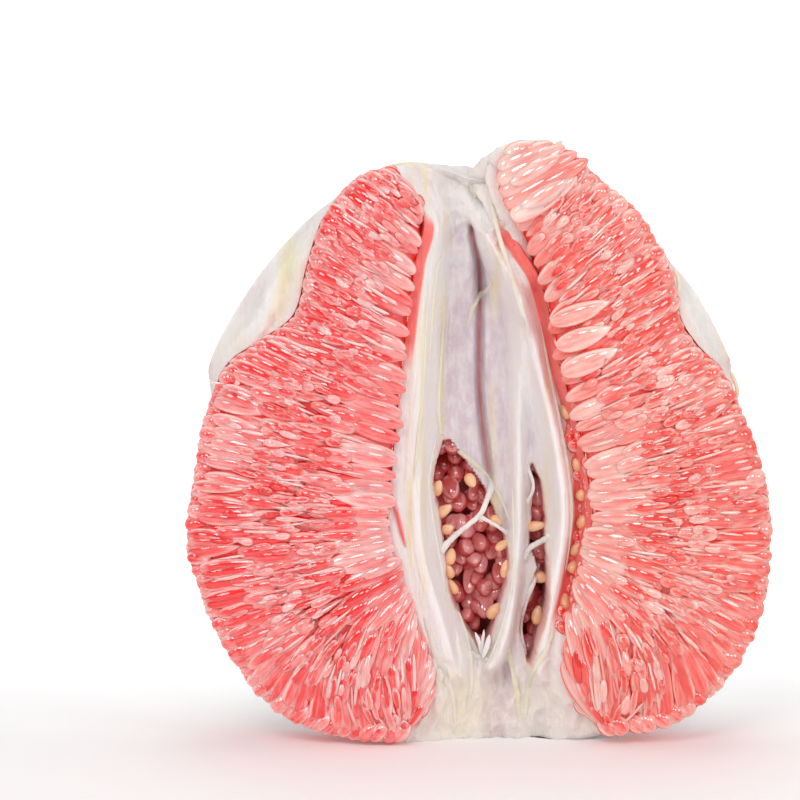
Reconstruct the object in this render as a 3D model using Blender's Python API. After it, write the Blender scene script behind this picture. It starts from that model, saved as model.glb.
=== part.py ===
"""Peeled pomelo, torn open: half of the fruit, standing on its flat lower end.

The white inner skin closes the back of the segments and lines the hollow core. The flesh of the two
outer segments lies bare on the left and on the right, as rows of juice sacs that run from the core to
the rim. Two torn pockets in the core's skin show more flesh behind it, with seeds along their edges.

Lengths are in millimetres on the fruit's own axis (x to the right, y to the back, z up), and are turned
into metres as the meshes are made.
"""

import math

import bmesh
import bpy
from mathutils import Matrix, Vector, noise

MM = 0.001

# The fruit's outer form
HEIGHT = 142.0
RADIUS = 68.5
FOOT_CUT = 2.5  # how much of the round lower end is flattened by its own weight
WIDEST = 0.75  # where the fruit is widest: a lower power lowers it
FULLNESS = 0.46  # a lower power makes the ends blunter
LEFT_SWELL = 0.07  # how much further the upper left stands out, as a share of the radius
FOOT_SPREAD = 0.34  # how much further back the weight presses the lower end, as a share of the radius
FOOT_HEIGHT = 16.0
BACK_SEGMENTS = 8
LOBE_DEPTH = 0.045  # of the radius, at the grooves between the segments
LOBE_SHIFT = 0.05  # radians that the grooves wander, so that the segments differ in width
UNEVEN = 0.012  # of the radius, as slow swellings of the back
UNEVEN_HEIGHT = 60.0
DIMPLE_DEPTH = 9.0
DIMPLE_WIDTH = 10.0

# The front: a rim level with the axis, and the hollow core between the two faces of flesh
RIM = 1.0
CORE_DEPTH = 15.0
CORE_TOP = 136.0
CORE_SLOPE = 2.6  # how soon the core is at full depth: the inverse of the share of its width
FOLD_ROOM = 6.0  # depth of the core below which its folds get lower
GROOVE_FADE = 8.0  # length over which a groove starts and ends

# Slabs of flesh: wedges that get thicker towards the rim
WEDGE_SLOPE = math.tan(math.radians(11.0))
WEDGE_START = 1.0
FACE_EDGE = 2.6  # how far the edge of a face stands in front of the axis
FACE_CROWN = 8.4  # how much further its middle bulges
SAC_RELIEF = 1.5
SAC_ROWS = 34
SAC_LINES = 3  # lines of corners to each row
SAC_COLUMNS = 19
SACS_ALONG = 3.4  # sacs end to end in a row
GAP = 0.35

# Edges of the bare flesh on each side, (x, z) from the lower end to the top
LEFT_INNER = ((-13.0, 7.5), (-10.6, 16), (-14, 28), (-19, 42), (-21, 54), (-20, 66), (-18.4, 82),
              (-16.6, 99), (-14.8, 114), (-12.8, 128))
LEFT_OUTER = ((-20, 0.9), (-33, 1.7), (-47, 7), (-58, 19), (-65.8, 35), (-69.3, 49), (-67.6, 63),
              (-64.4, 79), (-59.4, 90), (-51, 96), (-43.5, 102), (-40.5, 113), (-36.8, 124), (-30, 133),
              (-21.5, 136.6))
RIGHT_INNER = ((24, 9), (20.5, 18), (20.8, 28), (23.4, 37), (24.8, 46), (26.6, 54), (25.4, 63),
               (23.4, 74), (20.4, 84), (18, 92), (16.4, 101), (13.6, 112), (9.4, 122), (6, 132))
RIGHT_OUTER = ((32, 2.6), (45, 4.4), (57, 12.5), (65, 25), (68.5, 38), (69.3, 51), (67.6, 64),
               (63.6, 76), (58.8, 87), (51.5, 94.5), (47.3, 101), (46.4, 108), (43, 117),
               (37.3, 126), (29.5, 132.5), (22, 139.5), (13, 143))

# Torn pockets in the core's skin: their two edges, (x, z) from the lower end to the top
WIDE_POCKET = (((1, 20), (-3.6, 27.5), (-6.7, 35), (-7.6, 42), (-9, 53), (-10.6, 62), (-8.2, 71)),
               ((1.9, 20), (4.5, 28), (6.7, 36), (7.5, 43), (5.4, 50.5), (1.8, 59), (-2, 64.5), (-7, 71.5)))
NARROW_POCKET = (((12, 18), (10.9, 25), (11.7, 33), (12, 42), (12, 52), (11.2, 60), (11.5, 65)),
                 ((12.9, 18), (14.4, 24), (16.4, 31), (16.8, 38), (16.6, 47), (17.4, 54), (15.4, 61.5),
                  (12.4, 65.5)))
POCKET_FLOOR = 27.0
POCKET_FLESH_TOP = 20.5

# Folds of skin that stand forward in the core: (x, z) from the top down, height and width
FOLDS = (
    (((-6, 134), (-9, 100), (-10, 76), (-12.5, 56), (-9, 38), (-4, 18)), 2.4, 3.4),
    (((1, 134), (3, 112), (-0.5, 92), (-3, 80), (2.5, 66), (8.8, 50), (8.8, 36), (4, 14)), 5.0, 2.6),
    (((4.5, 134), (9, 112), (14, 90), (17.6, 74), (20.4, 58), (19.6, 42), (15.8, 24), (14, 10)), 4.2, 2.8),
)

# Grooves in the core: (x, z) from the top down, depth and width
GROOVES = (
    (((0.6, 118), (1.6, 96), (0.8, 80), (4.6, 62)), 2.5, 1.6),
    (((12.6, 114), (15.2, 98.6), (17.2, 87), (21, 75), (23.6, 61), (23.8, 52), (22.4, 44), (21.2, 36),
      (19.6, 27)), 5.0, 1.7),
)

# Threads of skin left across the pockets: (x, y, z) points and radius
THREADS = (
    (((-9.8, 8, 42), (-3.4, 6.5, 48.8), (0.6, 6.8, 52), (3.8, 8, 57.5)), 0.8),
    (((0.2, 7, 52), (3.4, 7, 50), (7.8, 8.5, 47)), 0.6),
    (((10.2, 10, 40), (14.2, 8, 43.8), (18.6, 9, 46.8)), 0.7),
)

# Seeds along the pockets' edges, as (x, z, turn in degrees), and beside the right face, as (z, turn)
SEED_LENGTH = 4.6
SEED_WIDTH = 2.9
POCKET_SEEDS = ((-9.7, 59.4, 20), (-8.1, 53.9, 50), (-7.2, 49.5, 60), (-6.6, 42.9, 10), (-6.9, 39.4, -20),
                (-6.0, 35.6, -30), (-1.4, 61.3, 150), (4.6, 51.3, 120), (6.3, 45.6, 60), (7.0, 39.9, 10),
                (4.4, 29.7, 40), (12.4, 54.2, 20), (12.8, 49.6, 80), (16.2, 37.3, 110), (15.1, 27.8, 10))
EDGE_SEEDS = ((78.5, -30), (66, -20), (58.9, 35), (52.4, 25), (45.8, 30), (40.4, 28), (33.2, 0))
EDGE_SEED_INSET = 2.3  # from the right face's inner edge to the middle of a seed

# The white body's grid of faces: columns round the back and across the front, and rows from the foot up
BACK_COLUMNS = 48
FRONT_COLUMNS = 40
BODY_ROWS = 30
BACK_SHARE = BACK_COLUMNS / (BACK_COLUMNS + FRONT_COLUMNS)
FOOT_TURN = 0.08  # where on a half circle from pole to pole the rows start

# The blocks that cut the flesh's beds and the pockets out of the white body
CUT_FRONT = -40.0
BED_GAP = GAP + 0.3
BED_STEPS = 44
POCKET_STEPS = 22

# Leaves the origin under the middle of the part's box
AXIS_SHIFT = (0.0, -28.18, 0.0)


def clamp(value, low=0.0, high=1.0):
    return max(low, min(high, value))


def smooth_step(value):
    value = clamp(value)
    return value * value * (3 - 2 * value)


class Curve:
    """A smooth curve through a few points, read by its length from 0 to 1."""

    STEPS = 12

    def __init__(self, points):
        ends = [2 * Vector(points[0]) - Vector(points[1])]
        ends += [Vector(p) for p in points] + [2 * Vector(points[-1]) - Vector(points[-2])]
        self.dense = [ends[1].copy()]
        for a, b, c, d in zip(ends, ends[1:], ends[2:], ends[3:]):
            for step in range(1, self.STEPS + 1):
                self.dense.append(self.between(a, b, c, d, step / self.STEPS))
        self.reached = [0.0]
        for start, end in zip(self.dense, self.dense[1:]):
            self.reached.append(self.reached[-1] + (end - start).length)

    @staticmethod
    def between(a, b, c, d, t):
        """A Catmull-Rom curve from b to c."""
        return 0.5 * (2 * b + (c - a) * t + (2 * a - 5 * b + 4 * c - d) * t * t
                      + (3 * b - a - 3 * c + d) * t ** 3)

    def at(self, share):
        goal = clamp(share) * self.reached[-1]
        for n in range(1, len(self.dense)):
            if self.reached[n] >= goal:
                step = self.reached[n] - self.reached[n - 1]
                return self.dense[n - 1].lerp(self.dense[n], (goal - self.reached[n - 1]) / max(step, 1e-9))
        return self.dense[-1].copy()

    def x_at_height(self, z):
        """The x of a curve that climbs from end to end, at height z."""
        points = self.dense if self.dense[0].y < self.dense[-1].y else self.dense[::-1]
        if z <= points[0].y:
            return points[0].x
        for low, high in zip(points, points[1:]):
            if low.y <= z <= high.y:
                return low.x + (high.x - low.x) * (z - low.y) / max(high.y - low.y, 1e-9)
        return points[-1].x


LEFT_EDGES = (Curve(LEFT_INNER), Curve(LEFT_OUTER))
RIGHT_EDGES = (Curve(RIGHT_INNER), Curve(RIGHT_OUTER))
FOLD_LINES = [(Curve(points), height, width) for points, height, width in FOLDS]
GROOVE_LINES = [(Curve(points), depth, width) for points, depth, width in GROOVES]


def outer_radius(z):
    """The egg-shaped fruit's radius at height z."""
    t = clamp((z + FOOT_CUT) / (HEIGHT + FOOT_CUT), 1e-6, 1 - 1e-6)
    return RADIUS * math.sin(math.pi * t ** WIDEST) ** FULLNESS


def lobe(angle):
    """The share of the radius that the rounded segments leave at this angle, with grooves between them."""
    bent = angle + LOBE_SHIFT * math.sin(3 * angle + 0.7)
    return 1 - LOBE_DEPTH * (1 - abs(math.sin(BACK_SEGMENTS * bent)) ** 0.5)


def core_dip(z):
    """How far the hollow core lies behind the rim at height z."""
    return CORE_DEPTH * math.sin(math.pi * clamp(z / CORE_TOP, 0.03, 0.97)) ** 0.5


def front_y(x, z):
    """The white front between and behind the faces of flesh."""
    left, right = LEFT_EDGES[0].x_at_height(z), RIGHT_EDGES[0].x_at_height(z)
    across = clamp((x - left) / (right - left))
    depth = core_dip(z) * smooth_step(CORE_SLOPE * min(across, 1 - across))
    for line, height, width in FOLD_LINES:
        off = (x - line.x_at_height(z)) / width
        depth -= height * math.exp(-off * off) * min(1.0, depth / FOLD_ROOM)
    for line, groove_depth, width in GROOVE_LINES:
        high, low = line.dense[0].y, line.dense[-1].y
        fade = smooth_step((z - low) / GROOVE_FADE) * smooth_step((high - z) / GROOVE_FADE)
        off = (x - line.x_at_height(z)) / width
        depth += groove_depth * fade * math.exp(-off * off)
    return depth - RIM


def to_metres(x, y, z):
    return Vector((x + AXIS_SHIFT[0], y + AXIS_SHIFT[1], z + AXIS_SHIFT[2])) * MM


def mapped_grid(columns, rows, place):
    """A grid of quads whose corners are moved to place(u, v), with u and v from 0 to 1."""
    mesh = bmesh.new()
    bmesh.ops.create_grid(mesh, x_segments=columns, y_segments=rows, size=1.0)
    for vert in mesh.verts:
        vert.co = place((vert.co.x + 1) / 2, (vert.co.y + 1) / 2)
    return mesh


def close_and_keep(mesh, name, material):
    """Closes the open ends, points the faces outwards and makes the object."""
    bmesh.ops.remove_doubles(mesh, verts=mesh.verts, dist=1e-6)
    open_edges = [edge for edge in mesh.edges if edge.is_boundary]
    if open_edges:
        bmesh.ops.holes_fill(mesh, edges=open_edges, sides=0)
    bmesh.ops.triangulate(mesh, faces=[face for face in mesh.faces if len(face.verts) > 4])
    bmesh.ops.recalc_face_normals(mesh, faces=mesh.faces)
    data = bpy.data.meshes.new(name)
    mesh.to_mesh(data)
    mesh.free()
    made = bpy.data.objects.new(name, data)
    bpy.context.collection.objects.link(made)
    data.materials.append(material)
    data.shade_smooth()
    data.set_sharp_from_angle(angle=math.radians(50))
    return made


def finish(name, colour, roughness):
    material = bpy.data.materials.new(name)
    material.use_nodes = True
    shader = material.node_tree.nodes["Principled BSDF"]
    shader.inputs["Base Color"].default_value = (*colour, 1)
    shader.inputs["Roughness"].default_value = roughness
    return material


def boolean(target, tool, operation):
    """Cuts or joins with a tool object, applies the result and removes the tool."""
    modifier = target.modifiers.new(operation.lower(), "BOOLEAN")
    modifier.operation = operation
    modifier.solver = "EXACT"
    modifier.object = tool
    graph = bpy.context.evaluated_depsgraph_get()
    data = bpy.data.meshes.new_from_object(target.evaluated_get(graph))
    target.modifiers.clear()
    old = target.data
    target.data = data
    bpy.data.meshes.remove(old)
    bpy.data.objects.remove(tool)


def back_radius(angle, z):
    """The white back's radius: an egg with grooves between its segments, not quite even."""
    uneven = UNEVEN * noise.noise(Vector((math.cos(angle), math.sin(angle), z / UNEVEN_HEIGHT)) * 1.7)
    swell = LEFT_SWELL * clamp(-math.cos(angle)) * smooth_step((z - 70) / 25)
    swell += FOOT_SPREAD * math.sin(angle) ** 2 * (1 - smooth_step(z / FOOT_HEIGHT))
    return outer_radius(z) * lobe(angle) * (1 + uneven + swell)


def body_point(u, v):
    """The closed outline of the white body: u runs round it, v from the foot to the top."""
    foot_share = 0.5 - 0.5 * math.cos(math.pi * FOOT_TURN)
    climbed = 0.5 - 0.5 * math.cos(math.pi * (FOOT_TURN + (1 - FOOT_TURN) * v))
    z = HEIGHT * (climbed - foot_share) / (1 - foot_share)
    pole = 0.0 if v >= 1 else 1.0
    if u < BACK_SHARE:
        angle = math.pi * u / BACK_SHARE
        radius = back_radius(angle, z) * pole
        x, y = radius * math.cos(angle), radius * math.sin(angle)
    else:
        left, right = -back_radius(math.pi, z) * pole, back_radius(0.0, z) * pole
        side = 2 * (u - BACK_SHARE) / (1 - BACK_SHARE) - 1
        x = left + (right - left) * (0.5 + 0.31 * side + 0.19 * side ** 3)
        y = front_y(x, z) * clamp((1 - abs(side)) * 12) * clamp(right / 14)
    near_top = smooth_step((z - 95) / 40)
    off = ((x - 1.5) ** 2 + (y - 1) ** 2) / (2 * DIMPLE_WIDTH ** 2)
    return to_metres(x, y, z - DIMPLE_DEPTH * near_top * math.exp(-off))


def make_body(material):
    """The white skin of the segments and the core, before the flesh is let into it."""
    grid = mapped_grid(BACK_COLUMNS + FRONT_COLUMNS, BODY_ROWS, body_point)
    return close_and_keep(grid, "membrane", material)


def wedge_back(x):
    """The back of the flesh at x: the wall between the first two segments."""
    return WEDGE_START + abs(x) * WEDGE_SLOPE


def face_point(edges, u, v):
    """The (x, z) of a face at share u from the core to the rim, and v from the lower end to the top."""
    inner, outer = edges
    lag = 0.08 * math.sin(2 * math.pi * v ** 0.6)
    return inner.at(v + lag).lerp(outer.at(v), u)


def sac_height(u, v, seed):
    """How far the juice sacs stand out at (u, v) of a face: long pillows in rows, with grooves between."""
    row = v * SAC_ROWS
    along = u * SACS_ALONG + 0.5 * (int(row) % 2) + 0.5 * noise.noise(Vector((int(row) * 1.7, seed, 0)))
    across = math.sin(math.pi * (row % 1.0))
    length = abs(math.sin(math.pi * along))
    lift = 0.35 * noise.noise(Vector((int(row) * 0.9, int(along) * 2.3, seed)))
    return across * (0.55 + 0.45 * length ** 0.6 + lift)


def face_y(u, v, seed):
    """The front of a face: crowned, rounded over at its edges, with its sacs in relief."""
    edge = max(0.0, math.sin(math.pi * clamp(0.5 + 0.96 * (u - 0.5)))) ** 0.45
    ends = max(0.0, math.sin(math.pi * clamp(0.5 + 0.95 * (v - 0.5)))) ** 0.3
    return -FACE_EDGE - FACE_CROWN * edge * ends - SAC_RELIEF * (sac_height(u, v, seed) - 0.5)


def make_face(name, edges, seed, material):
    """One slab of bare flesh, its sacs in rows from the core to the rim."""

    def place(u, v):
        point = face_point(edges, u, v)
        rim_sac = math.sin(math.pi * ((v * SAC_ROWS) % 1.0))
        if u in (0.0, 1.0):
            side = 1 if u else -1
            direction = (edges[1].at(v) - edges[0].at(v)).normalized()
            point = point + direction * side * (0.8 * rim_sac - 0.6)
        return to_metres(point.x, face_y(u, v, seed), point.y)

    grid = mapped_grid(SAC_COLUMNS, SAC_ROWS * SAC_LINES, place)
    border = [edge for edge in grid.edges if edge.is_boundary]
    made = bmesh.ops.extrude_edge_only(grid, edges=border)
    for item in made["geom"]:
        if isinstance(item, bmesh.types.BMVert):
            x = item.co.x / MM - AXIS_SHIFT[0]
            item.co.y = (wedge_back(x) + AXIS_SHIFT[1]) * MM
    return close_and_keep(grid, name, material)


def outline_of(edges, steps, grow):
    """The closed outline between two edges as (x, z) points, grown outwards by a margin."""
    ring = [edges[1].at(n / steps) for n in range(steps + 1)]
    ring += [edges[0].at(1 - n / steps) for n in range(steps + 1)]
    middle = sum(ring, Vector((0, 0))) / len(ring)
    turn = sum((a - middle).cross(b - middle) for a, b in zip(ring, ring[1:] + ring[:1]))
    grown = []
    for n, point in enumerate(ring):
        along = (ring[(n + 1) % len(ring)] - ring[n - 1]).normalized()
        out = Vector((along.y, -along.x)) * (1 if turn > 0 else -1)
        grown.append(point + out * grow)
    return grown


def make_prism(edges, steps, grow, back):
    """A cutter with the outline between two edges, from in front of the fruit to the y that back(x) gives."""
    mesh = bmesh.new()
    verts = [mesh.verts.new(to_metres(p.x, CUT_FRONT, p.y)) for p in outline_of(edges, steps, grow)]
    face = mesh.faces.new(verts)
    made = bmesh.ops.extrude_face_region(mesh, geom=[face])
    for item in made["geom"]:
        if isinstance(item, bmesh.types.BMVert):
            item.co.y = (back(item.co.x / MM - AXIS_SHIFT[0]) + AXIS_SHIFT[1]) * MM
    bmesh.ops.triangulate(mesh, faces=mesh.faces)
    tool = close_and_keep(mesh, "cutter", bpy.data.materials[0])
    tool.hide_render = True
    return tool


def make_pocket_flesh(name, edges, seed, rows, material):
    """The flesh that shows at the bottom of a torn pocket."""
    curves = (Curve(edges[0]), Curve(edges[1]))

    def place(u, v):
        inset_v = 0.02 + 0.96 * v
        near, far = curves[0].at(inset_v), curves[1].at(inset_v)
        width = (far - near).length
        inset = min(0.45, (GAP + 0.4) / max(width, 0.1))
        point = near.lerp(far, inset + (1 - 2 * inset) * u)
        row = v * rows
        sac = math.sin(math.pi * (row % 1.0)) * abs(math.sin(math.pi * (1.5 * u + 0.5 * (int(row) % 2))))
        y = POCKET_FLESH_TOP - 2.4 * sac - 1.2 * noise.noise(Vector((u * 2, v * 6, seed)))
        return to_metres(point.x, y, point.y)

    grid = mapped_grid(6, rows * 3, place)
    border = [edge for edge in grid.edges if edge.is_boundary]
    made = bmesh.ops.extrude_edge_only(grid, edges=border)
    for item in made["geom"]:
        if isinstance(item, bmesh.types.BMVert):
            item.co.y = (POCKET_FLOOR - GAP + AXIS_SHIFT[1]) * MM
    return close_and_keep(grid, name, material)


def make_seed(x, y, z, turn):
    """A small flat seed, pointed at one end."""
    mesh = bmesh.new()
    bmesh.ops.create_icosphere(mesh, subdivisions=1, radius=0.5)
    for vert in mesh.verts:
        along = vert.co.z + 0.5
        vert.co.x *= SEED_WIDTH * (1.15 - 0.5 * along)
        vert.co.y *= SEED_WIDTH * 0.8
        vert.co.z *= SEED_LENGTH
    turned = Matrix.Rotation(math.radians(turn), 4, "Y")
    for vert in mesh.verts:
        vert.co = to_metres(*(turned @ vert.co + Vector((x, y, z))))
    return close_and_keep(mesh, "seed", bpy.data.materials[0])


def make_thread(points, radius):
    """A thread of skin along a curve, six-sided and thicker at its ends."""
    line = Curve(points)
    steps = 8

    def place(u, v):
        centre = line.at(v)
        ahead, behind = line.at(v + 0.02), line.at(v - 0.02)
        along = (ahead - behind).normalized()
        side = along.cross(Vector((0, 1, 0))).normalized()
        up = side.cross(along)
        thick = radius * (1 + 1.2 * (2 * v - 1) ** 4)
        angle = 2 * math.pi * u
        return to_metres(*(centre + (side * math.cos(angle) + up * math.sin(angle)) * thick))

    return close_and_keep(mapped_grid(6, steps, place), "thread", bpy.data.materials[0])


def make_pomelo():
    for old in list(bpy.data.objects):
        bpy.data.objects.remove(old)
    skin = finish("white_skin", (0.90, 0.87, 0.80), 0.6)
    left_flesh = finish("left_flesh", (0.86, 0.20, 0.19), 0.22)
    right_flesh = finish("right_flesh", (0.88, 0.32, 0.27), 0.22)
    deep_flesh = finish("deep_flesh", (0.50, 0.09, 0.09), 0.25)

    body = make_body(skin)
    for edges in (LEFT_EDGES, RIGHT_EDGES):
        bed = make_prism(edges, BED_STEPS, BED_GAP, lambda x: wedge_back(x) + GAP)
        boolean(body, bed, "DIFFERENCE")
    for pocket in (WIDE_POCKET, NARROW_POCKET):
        curves = (Curve(pocket[0]), Curve(pocket[1]))
        boolean(body, make_prism(curves, POCKET_STEPS, 0.0, lambda x: POCKET_FLOOR), "DIFFERENCE")
    for x, z, turn in POCKET_SEEDS:
        boolean(body, make_seed(x, front_y(x, z) + 1.4, z, turn), "UNION")
    for z, turn in EDGE_SEEDS:
        x = RIGHT_EDGES[0].x_at_height(z) - EDGE_SEED_INSET
        boolean(body, make_seed(x, front_y(x, z) - 0.3, z, turn), "UNION")
    for points, radius in THREADS:
        boolean(body, make_thread(points, radius), "UNION")

    make_face("flesh_left", LEFT_EDGES, 3.1, left_flesh)
    make_face("flesh_right", RIGHT_EDGES, 8.4, right_flesh)
    make_pocket_flesh("flesh_wide_pocket", WIDE_POCKET, 1.3, 11, deep_flesh)
    make_pocket_flesh("flesh_narrow_pocket", NARROW_POCKET, 5.9, 9, deep_flesh)


make_pomelo()
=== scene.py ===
"""Looks of a peeled, torn-open pomelo half: its juice sacs, white skin, seeds and threads, and a stage.

Lengths are in millimetres on the fruit's own axis (x to the right, y to the back, z up) until a piece is
finished, which moves it into the frame's metres.
"""

import math
import random

import bmesh
import bpy
from bpy.props import FloatProperty, FloatVectorProperty, IntProperty, PointerProperty
from mathutils import Matrix, Vector, noise


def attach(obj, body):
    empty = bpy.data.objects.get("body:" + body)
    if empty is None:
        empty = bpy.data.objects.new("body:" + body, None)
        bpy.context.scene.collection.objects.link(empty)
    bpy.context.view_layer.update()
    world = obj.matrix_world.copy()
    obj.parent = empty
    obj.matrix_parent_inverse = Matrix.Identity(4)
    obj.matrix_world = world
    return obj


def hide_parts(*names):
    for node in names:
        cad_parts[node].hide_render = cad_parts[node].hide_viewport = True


bl_info = {
    "name": "Peeled Pomelo Half",
    "version": (1, 0, 0),
    "blender": (4, 5, 0),
    "location": "3D View > Sidebar > Pomelo",
    "description": "Models a peeled, torn-open pomelo half with juice sacs, skin, seeds and threads",
    "category": "Add Mesh",
}

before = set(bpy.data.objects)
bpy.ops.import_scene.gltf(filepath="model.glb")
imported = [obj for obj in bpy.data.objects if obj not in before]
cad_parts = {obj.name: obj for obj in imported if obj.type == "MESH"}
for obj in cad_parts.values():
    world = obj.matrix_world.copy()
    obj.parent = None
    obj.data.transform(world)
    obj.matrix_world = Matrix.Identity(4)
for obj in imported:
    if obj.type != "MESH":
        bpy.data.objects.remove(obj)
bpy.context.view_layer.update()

MM = 0.001
AXIS_SHIFT = Vector((0.0, -28.18, 0.0))

# The fruit's outer form
HEIGHT = 142.0
RADIUS = 68.5
FOOT_CUT = 2.5
WIDEST = 0.75
FULLNESS = 0.46
LEFT_SWELL = 0.07
FOOT_SPREAD = 0.34
FOOT_HEIGHT = 16.0
BACK_SEGMENTS = 8
LOBE_DEPTH = 0.045
LOBE_SHIFT = 0.05
UNEVEN = 0.012
UNEVEN_HEIGHT = 60.0
DIMPLE_DEPTH = 9.0
DIMPLE_WIDTH = 10.0

# The hollow core and the beds of the flesh
RIM = 1.0
CORE_DEPTH = 15.0
CORE_TOP = 136.0
WEDGE_SLOPE = math.tan(math.radians(11.0))
WEDGE_START = 1.0
FACE_EDGE = 2.6
FACE_CROWN = 8.4

# What the pieces stay within
SIDE_LIMIT = 69.35
FRONT_LIMIT = -11.5
TOP_LIMIT = 142.4

# Edges of the bare flesh on each side, (x, z) from the lower end to the top
LEFT_INNER = ((-13.0, 7.5), (-10.6, 16), (-14, 28), (-19, 42), (-21, 54), (-20, 66), (-18.4, 82),
              (-16.6, 99), (-14.8, 114), (-12.8, 128))
LEFT_OUTER = ((-20, 0.9), (-33, 1.7), (-47, 7), (-58, 19), (-65.8, 35), (-69.3, 49), (-67.6, 63),
              (-64.4, 79), (-59.4, 90), (-51, 96), (-43.5, 102), (-40.5, 113), (-36.8, 124), (-30, 133),
              (-21.5, 136.6))
RIGHT_INNER = ((24, 9), (20.5, 18), (20.8, 28), (23.4, 37), (24.8, 46), (26.6, 54), (25.4, 63),
               (23.4, 74), (20.4, 84), (18, 92), (16.4, 101), (13.6, 112), (9.4, 122), (6, 132))
RIGHT_OUTER = ((32, 2.6), (45, 4.4), (57, 12.5), (65, 25), (68.5, 38), (69.3, 51), (67.6, 64),
               (63.6, 76), (58.8, 87), (51.5, 94.5), (47.3, 101), (46.4, 108), (43, 117),
               (37.3, 126), (29.5, 132.5), (22, 139.5), (13, 143))

# Torn pockets in the core's skin: their two edges, (x, z) from the lower end to the top
WIDE_POCKET = (((1, 20), (-3.6, 27.5), (-6.7, 35), (-7.6, 42), (-9, 53), (-10.6, 62), (-8.2, 71)),
               ((1.9, 20), (4.5, 28), (6.7, 36), (7.5, 43), (5.4, 50.5), (1.8, 59), (-2, 64.5), (-7, 71.5)))
NARROW_POCKET = (((12, 18), (10.4, 25), (11.4, 31.5), (13.4, 37.5), (14.2, 41), (12.6, 46), (13, 52),
                  (13.3, 58), (12.6, 65)),
                 ((12.9, 18), (14.4, 24), (16.4, 31), (16.8, 38), (16.2, 47), (16.2, 54), (15, 61.5),
                  (12.9, 65.5)))
POCKET_DEPTH = 24.5
POCKET_ROW_SPACING = 3.0
POCKET_COLUMN_SPACING = 3.3

# Bands of skin that stand forward in the core: (x, z) from the top down, height and width
BANDS = (
    (((-13.5, 128), (-14.3, 117), (-15, 82), (-15.7, 67), (-14.3, 53), (-12.6, 41), (-9.4, 29), (-6, 19),
      (-4, 10)), 6.0, 4.2),
    (((8.5, 112), (9.5, 100), (9.6, 85), (9.8, 70), (9.9, 60), (9.9, 50), (9.2, 40), (7.8, 30), (5.4, 21),
      (2.5, 15)), 6.5, 2.3),
    (((0.4, 133), (4, 122), (6.9, 113), (10, 103), (13, 98), (15.5, 85), (18.4, 70), (20.0, 58),
      (19.8, 48), (18.4, 39), (17.0, 30), (15.2, 20), (14.4, 11)), 7.0, 2.7),
)

# Grooves in the core: (x, z) from the top down, depth and width
GROOVES = (
    (((-2.2, 133), (-1.2, 125), (0.6, 112), (0.5, 96), (0.8, 80), (2.6, 65), (3.8, 57)), 4.5, 0.9),
    (((12.6, 114), (15.2, 98.6), (17.2, 87), (21, 75), (23.6, 61), (23.8, 52), (22.4, 44), (21.2, 36),
      (19.6, 27)), 3.6, 1.6),
    (((6.4, 20), (7.2, 15), (7.6, 8)), 3.2, 1.3),
    (((-6.2, 30), (-5.2, 22), (-3.6, 14)), 2.0, 0.8),
)
STREAKS = ((-8.4, 0.9), (-13.2, 0.8), (-15.6, 0.7), (4.5, 0.9), (16.6, 0.7))

# Seeds along the pockets' edges, as (x, z, turn in degrees), and beside the right face, as (z, turn)
POCKET_SEEDS = ((-9.6, 59.4, 20), (-8.0, 53.9, 50), (-7.1, 49.5, 60), (-6.4, 42.9, 10), (-6.7, 39.4, -20),
                (-5.9, 35.6, -30), (-1.6, 61.3, 150), (4.4, 51.3, 120), (6.1, 45.6, 60), (6.8, 39.9, 10),
                (4.2, 29.7, 40), (14.2, 50.2, 80), (15.4, 37.8, 110), (14.6, 28.6, 10))
EDGE_SEEDS = ((78.5, -30), (66, -20), (58.9, 35), (52.4, 25), (45.8, 30), (41.6, 28), (33.2, 0))
POCKET_SEED_DEPTH = 10.5
EDGE_SEED_DEPTH = 2.0
EDGE_SEED_INSET = 1.6

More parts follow.
